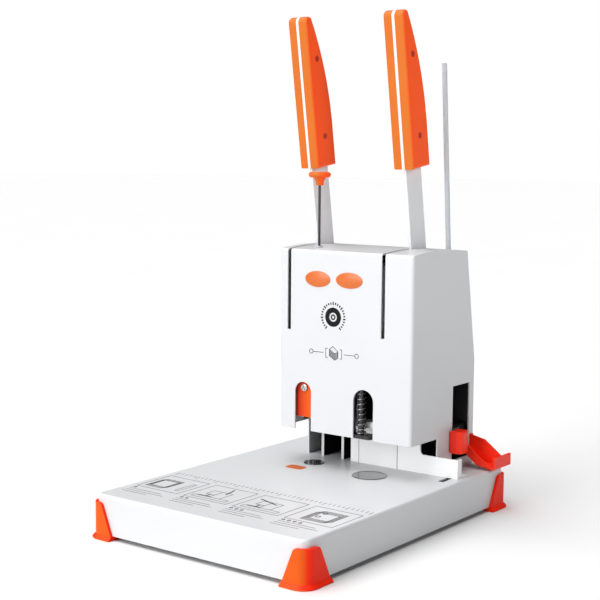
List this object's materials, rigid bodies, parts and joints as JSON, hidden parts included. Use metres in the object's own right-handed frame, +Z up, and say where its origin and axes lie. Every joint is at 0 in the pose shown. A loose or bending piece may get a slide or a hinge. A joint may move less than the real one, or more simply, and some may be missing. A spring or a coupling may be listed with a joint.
{
  "type": "drill and rivet document binding machine",
  "caption": "Desktop binder that drills paper with a hollow drill and rivets nylon tube, worked by swing levers, on a sheet-steel base with corner feet.",
  "frame": {"origin": "centre of the rest plane under the feet", "axes": "+Z up, -Y to the operator at the front, +X to the operator's right"},
  "size_m": [0.252, 0.342, 0.4817],
  "materials": {
    "white_enamel": "satin powder coat on bent sheet steel",
    "orange_plastic": "moulded, low sheen",
    "red_orange_plastic": "moulded, low sheen",
    "black_plastic": "moulded, fine grain",
    "black_steel": "blackened",
    "bright_steel": "zinc plated or ground",
    "spring_steel": "drawn wire",
    "aluminium": "milled",
    "brass": "turned",
    "rubber": "fabric-backed",
    "nylon": "drawn tube, translucent"
  },
  "bodies": {
    "chassis": {"base_shell": "white_enamel", "bottom_plate": "bright_steel", "front_left_foot": "orange_plastic", "front_right_foot": "orange_plastic", "rear_left_foot": "orange_plastic", "rear_right_foot": "orange_plastic", "foot_screws": "bright_steel", "inner_plates": "black_steel", "outer_plates": "black_steel", "frame_spacers": "bright_steel", "pivot_shaft": "bright_steel", "shaft_end_rings": "bright_steel", "rod_blocks": "aluminium", "guide_rods": "bright_steel", "lower_rivet_die": "black_steel", "throat_plate": "white_enamel", "short_paper_stop": "white_enamel", "housing_cover": "white_enamel", "rear_panel": "white_enamel", "power_inlet": "black_plastic", "switch_frame": "black_plastic", "tube_guide": "black_plastic", "gauge_rail": "bright_steel", "chute_tray": "red_orange_plastic", "rod_socket": "nylon"},
    "left_lever": {"left_lever_bar": "white_enamel", "left_grip_left_shell": "orange_plastic", "left_grip_right_shell": "orange_plastic", "left_grip_screws": "bright_steel", "left_sector_gear": "bright_steel"},
    "rivet_ram": {"rivet_ram": "bright_steel", "heater_block": "aluminium", "upper_rivet_die": "brass", "heat_shroud": "orange_plastic", "shroud_screw": "bright_steel"},
    "right_lever": {"right_lever_bar": "white_enamel", "right_grip_left_shell": "orange_plastic", "right_grip_right_shell": "orange_plastic", "right_grip_screws": "bright_steel", "right_sector_gear": "bright_steel"},
    "drill_carriage": {"drill_carriage": "aluminium", "motor_bracket": "bright_steel", "drill_motor": "black_steel", "drive_belt": "rubber", "press_spring": "spring_steel"},
    "spindle": {"spindle": "bright_steel", "hollow_drill": "bright_steel"},
    "motor_pulley": {"motor_pulley": "aluminium"},
    "press_foot": {"press_foot": "black_steel", "press_foot_hangers": "bright_steel"},
    "drill_pad": {"drill_pad": "black_steel"},
    "gauge": {"gauge_slide": "black_plastic", "gauge_knob": "red_orange_plastic"},
    "clearing_rod": {"clearing_rod": "bright_steel", "clearing_rod_head": "orange_plastic"},
    "nylon_tube": {"nylon_tube": "nylon"},
    "paper_fence": {"paper_fence": "white_enamel"},
    "switch_rocker": {"switch_rocker": "black_plastic"}
  },
  "joints": [
    {"name": "left_lever_swing", "type": "hinge", "parent": "chassis", "child": "left_lever", "pos_m": [0, 0.112, 0.172], "axis": [1, 0, 0], "range_deg": [0, 63.76], "stiffness_Nm_per_rad": 0.8, "springref_deg": -34.38},
    {"name": "rivet_ram_slide", "type": "slide", "parent": "chassis", "child": "rivet_ram", "axis": [0, 0, -1], "range_m": [0, 0.0345]},
    {"name": "right_lever_swing", "type": "hinge", "parent": "chassis", "child": "right_lever", "pos_m": [0, 0.112, 0.172], "axis": [1, 0, 0], "range_deg": [0, 63.76], "stiffness_Nm_per_rad": 1.2, "springref_deg": -34.38},
    {"name": "drill_feed", "type": "slide", "parent": "chassis", "child": "drill_carriage", "axis": [0, 0, -1], "range_m": [0, 0.0345]},
    {"name": "spindle_spin", "type": "hinge", "parent": "drill_carriage", "child": "spindle", "pos_m": [0.027, 0.047, 0.15], "axis": [0, 0, 1], "continuous": true},
    {"name": "motor_pulley_spin", "type": "hinge", "parent": "drill_carriage", "child": "motor_pulley", "pos_m": [0.021, 0.087, 0.182], "axis": [0, 0, 1], "continuous": true},
    {"name": "press_foot_lift", "type": "slide", "parent": "drill_carriage", "child": "press_foot", "axis": [0, 0, 1], "range_m": [0, 0.02], "stiffness_N_per_m": 300, "springref_m": -0.01, "deforming": ["press_spring"]},
    {"name": "drill_pad_turn", "type": "hinge", "parent": "chassis", "child": "drill_pad", "pos_m": [0.0385, 0.0455, 0.0405], "axis": [0, 0, 1], "continuous": true},
    {"name": "gauge_lift", "type": "slide", "parent": "chassis", "child": "gauge", "axis": [0, 0, 1], "range_m": [0, 0.04]},
    {"name": "clearing_rod_lift", "type": "slide", "parent": "chassis", "child": "clearing_rod", "axis": [0, 0, 1], "range_m": [0, 0.06]},
    {"name": "nylon_tube_lift", "type": "slide", "parent": "chassis", "child": "nylon_tube", "axis": [-0.0471, 0, 0.9989], "range_m": [0, 0.06]},
    {"name": "fence_slide", "type": "slide", "parent": "chassis", "child": "paper_fence", "axis": [0, -1, 0], "range_m": [0, 0.018]},
    {"name": "switch_press", "type": "hinge", "parent": "chassis", "child": "switch_rocker", "pos_m": [0.027, 0.15575, 0.1065], "axis": [0, 0, 1], "range_deg": [-12, 0]}
  ],
  "couplings": [
    {"joint": "rivet_ram_slide", "follows": "left_lever_swing", "m_per_rad": 0.031},
    {"joint": "drill_feed", "follows": "right_lever_swing", "m_per_rad": 0.031},
    {"joint": "motor_pulley_spin", "follows": "spindle_spin", "ratio": 0.6765}
  ]
}
